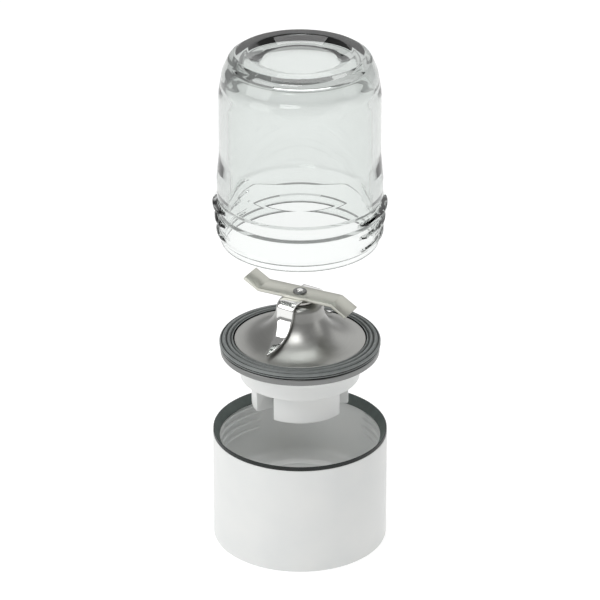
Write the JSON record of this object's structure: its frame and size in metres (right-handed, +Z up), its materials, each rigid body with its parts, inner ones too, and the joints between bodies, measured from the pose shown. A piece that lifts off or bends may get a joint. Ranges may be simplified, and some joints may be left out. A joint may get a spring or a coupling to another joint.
{
  "type": "blade mill cup",
  "caption": "Small grinding mill cup: clear glass jar, bladed steel dish on a white hub, and a threaded white collar that clamps them over a drive.",
  "frame": {"origin": "centre of the collar's bottom face, where the part stands", "axes": "+Z up along the common axis of collar, blade unit and jar; -Y is the front, +X the right"},
  "size_m": [0.0926, 0.0926, 0.2766],
  "materials": {
    "white_plastic": "semi-gloss moulded",
    "seal_rubber": "matt",
    "gasket_rubber": "matt, ribbed",
    "dish_steel": "satin",
    "blade_steel": "satin",
    "polished_steel": "mirror polished",
    "fastener_steel": "plain",
    "housing_alloy": "turned",
    "bronze": "sintered",
    "coupling_plastic": "matt",
    "jar_glass": "clear pressed glass"
  },
  "bodies": {
    "collar": {"collar_shell": "white_plastic", "rim_seal": "seal_rubber", "bayonet_ring": "white_plastic", "bayonet_screws": "fastener_steel"},
    "blade_unit": {"steel_dish": "dish_steel", "hub_body": "white_plastic", "bearing_housing": "housing_alloy", "housing_nut": "fastener_steel", "housing_seal": "seal_rubber", "upper_bush": "bronze", "lower_bush": "bronze", "shaft_seal": "seal_rubber", "hub_cover": "white_plastic", "cover_screws": "fastener_steel"},
    "gasket": {"ribbed_gasket": "gasket_rubber"},
    "rotor": {"shaft": "fastener_steel", "blade_spacer": "fastener_steel", "lower_blade": "polished_steel", "upper_blade": "blade_steel", "blade_ring": "fastener_steel", "lower_thrust_washer": "fastener_steel", "circlip": "fastener_steel", "coupling_insert": "bronze", "drive_coupling": "coupling_plastic"},
    "jar": {"glass_jar": "jar_glass"}
  },
  "joints": [
    {"name": "blade_unit_seat", "type": "slide", "parent": "collar", "child": "blade_unit", "axis": [0, 0, -1], "range_m": [0, 0.0679]},
    {"name": "blade_spin", "type": "hinge", "parent": "blade_unit", "child": "rotor", "pos_m": [0, 0, 0.1155], "axis": [0, 0, 1], "continuous": true},
    {"name": "jar_turn", "type": "hinge", "parent": "blade_unit", "child": "gasket", "pos_m": [0, 0, 0.1155], "axis": [0, 0, -1], "range_deg": [-90, 0]},
    {"name": "jar_seat", "type": "slide", "parent": "gasket", "child": "jar", "axis": [0, 0, -1], "range_m": [0, 0.0569]}
  ]
}
